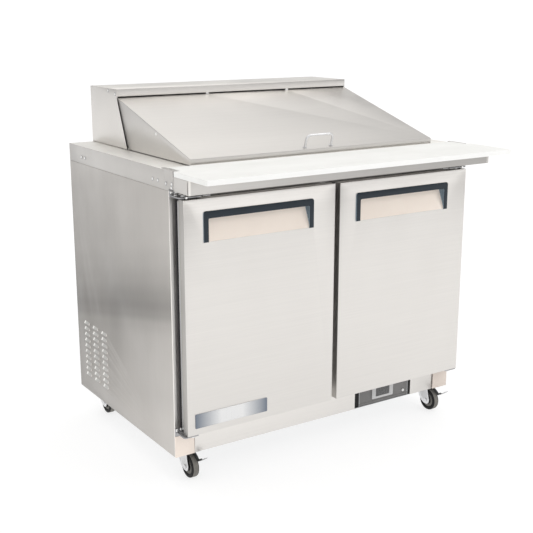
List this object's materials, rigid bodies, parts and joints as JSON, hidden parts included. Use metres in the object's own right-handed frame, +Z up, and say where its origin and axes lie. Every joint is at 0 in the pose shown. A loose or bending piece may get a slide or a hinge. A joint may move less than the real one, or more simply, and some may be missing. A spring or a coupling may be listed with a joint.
{
  "type": "sandwich prep table",
  "caption": "Stainless refrigerated prep table with hinged doors, a sloping lidded hood over food pans, a full-width cutting board and swivel casters with brakes.",
  "frame": {"origin": "on the floor under the middle of the whole object's outline", "axes": "+X to the right seen from the doors, +Y from the doors to the back, +Z up"},
  "size_m": [1.122, 0.963, 1.157],
  "materials": {
    "side_steel": "brushed",
    "stainless": "brushed stainless",
    "bracket_steel": "satin",
    "galvanised": "galvanised",
    "frame_steel": "satin",
    "liner_sheet": "stucco",
    "foam": "rigid foam",
    "pan_plastic": "clear",
    "hinge_steel": "polished",
    "control_plastic": "moulded",
    "button_plastic": "moulded",
    "badge_metal": "satin",
    "handle_plastic": "moulded",
    "seal": "moulded",
    "board_plastic": "textured",
    "fins": "mill",
    "fan_plastic": "moulded",
    "motor_steel": "painted",
    "copper": "drawn",
    "coated_wire": "coated",
    "shelf_strip": "satin",
    "caster_steel": "zinc plated",
    "caster_tread": "moulded",
    "pedal_steel": "painted"
  },
  "bodies": {
    "root": {"back_panel": "side_steel", "base_pan": "galvanised", "board_end_brackets": "bracket_steel", "board_shelf": "stainless", "caster_plates": "caster_steel", "compressor": "motor_steel", "condenser_coil": "fins", "condenser_shroud": "galvanised", "control_housing": "control_plastic", "controller": "control_plastic", "cord_gland": "seal", "door_hinge_brackets": "bracket_steel", "door_opening_frame": "frame_steel", "drain_pan": "galvanised", "evaporator_coil": "fins", "evaporator_cover": "liner_sheet", "fan_motors": "motor_steel", "food_pans": "pan_plastic", "hood_housing": "stainless", "insulation": "foam", "kick_corner_plates": "bracket_steel", "kick_rail": "stainless", "lid_hinge_fixed_leaves": "hinge_steel", "liner_panels": "liner_sheet", "machine_cover": "galvanised", "pan_head_screws": "hinge_steel", "pan_rails": "frame_steel", "refrigerant_tubing": "copper", "shelf_supports": "shelf_strip", "side_panel_left": "side_steel", "side_panel_right": "side_steel", "wire_shelves": "coated_wire", "worktop": "stainless"},
    "left_door": {"door_skin_left": "stainless", "door_core_left": "foam", "door_gasket_left": "seal", "door_handle_left": "handle_plastic", "name_plate": "badge_metal"},
    "right_door": {"door_skin_right": "stainless", "door_core_right": "foam", "door_gasket_right": "seal", "door_handle_right": "handle_plastic"},
    "lid": {"lid_shell": "stainless", "lid_core": "foam", "lid_handle": "hinge_steel", "lid_hinge_moving_leaves": "hinge_steel"},
    "board": {"cutting_board": "board_plastic"},
    "evaporator_fan_rotor": {"evaporator_fan": "fan_plastic"},
    "condenser_fan_rotor": {"condenser_fan": "fan_plastic"},
    "button": {"power_button": "button_plastic"},
    "fork_front_left": {"caster_fork_front_left": "caster_steel"},
    "wheel_front_left": {"caster_wheel_front_left": "caster_tread"},
    "fork_front_right": {"caster_fork_front_right": "caster_steel"},
    "wheel_front_right": {"caster_wheel_front_right": "caster_tread"},
    "fork_rear_left": {"caster_fork_rear_left": "caster_steel"},
    "wheel_rear_left": {"caster_wheel_rear_left": "caster_tread"},
    "fork_rear_right": {"caster_fork_rear_right": "caster_steel"},
    "wheel_rear_right": {"caster_wheel_rear_right": "caster_tread"},
    "pedal_left": {"brake_pedal_left": "pedal_steel"},
    "pedal_right": {"brake_pedal_right": "pedal_steel"}
  },
  "joints": [
    {"name": "left_door_hinge", "type": "hinge", "parent": "root", "child": "left_door", "pos_m": [-0.526, -0.2845, 0.536], "axis": [0, 0, 1], "range_deg": [-105, 0]},
    {"name": "right_door_hinge", "type": "hinge", "parent": "root", "child": "right_door", "pos_m": [0.526, -0.2845, 0.536], "axis": [0, 0, 1], "range_deg": [0, 105]},
    {"name": "lid_hinge", "type": "hinge", "parent": "root", "child": "lid", "pos_m": [0, 0.2703, 1.1306], "axis": [-1, 0, 0], "range_deg": [0, 80]},
    {"name": "board_lift", "type": "slide", "parent": "root", "child": "board", "axis": [0, 0, 1], "range_m": [0, 0.12]},
    {"name": "evaporator_fan_spin", "type": "hinge", "parent": "root", "child": "evaporator_fan_rotor", "pos_m": [0, 0.3035, 0.695], "axis": [0, 1, 0], "continuous": true},
    {"name": "condenser_fan_spin", "type": "hinge", "parent": "root", "child": "condenser_fan_rotor", "pos_m": [-0.43, 0.3455, 0.23], "axis": [1, 0, 0], "continuous": true},
    {"name": "button_press", "type": "slide", "parent": "root", "child": "button", "axis": [0, 1, 0], "range_m": [0, 0.002], "stiffness_N_per_m": 600},
    {"name": "swivel_front_left", "type": "hinge", "parent": "root", "child": "fork_front_left", "pos_m": [-0.48, -0.1865, 0.087], "axis": [0, 0, 1], "continuous": true},
    {"name": "roll_front_left", "type": "hinge", "parent": "fork_front_left", "child": "wheel_front_left", "pos_m": [-0.48, -0.2085, 0.038], "axis": [1, 0, 0], "continuous": true},
    {"name": "brake_press_left", "type": "hinge", "parent": "fork_front_left", "child": "pedal_left", "pos_m": [-0.48, -0.2055, 0.0795], "axis": [1, 0, 0], "range_deg": [0, 8]},
    {"name": "swivel_front_right", "type": "hinge", "parent": "root", "child": "fork_front_right", "pos_m": [0.508, -0.1865, 0.087], "axis": [0, 0, 1], "continuous": true},
    {"name": "roll_front_right", "type": "hinge", "parent": "fork_front_right", "child": "wheel_front_right", "pos_m": [0.508, -0.2085, 0.038], "axis": [1, 0, 0], "continuous": true},
    {"name": "brake_press_right", "type": "hinge", "parent": "fork_front_right", "child": "pedal_right", "pos_m": [0.508, -0.2055, 0.0795], "axis": [1, 0, 0], "range_deg": [0, 8]},
    {"name": "swivel_rear_left", "type": "hinge", "parent": "root", "child": "fork_rear_left", "pos_m": [-0.48, 0.4225, 0.087], "axis": [0, 0, 1], "continuous": true},
    {"name": "roll_rear_left", "type": "hinge", "parent": "fork_rear_left", "child": "wheel_rear_left", "pos_m": [-0.48, 0.4005, 0.038], "axis": [1, 0, 0], "continuous": true},
    {"name": "swivel_rear_right", "type": "hinge", "parent": "root", "child": "fork_rear_right", "pos_m": [0.508, 0.4225, 0.087], "axis": [0, 0, 1], "continuous": true},
    {"name": "roll_rear_right", "type": "hinge", "parent": "fork_rear_right", "child": "wheel_rear_right", "pos_m": [0.508, 0.4005, 0.038], "axis": [1, 0, 0], "continuous": true}
  ]
}
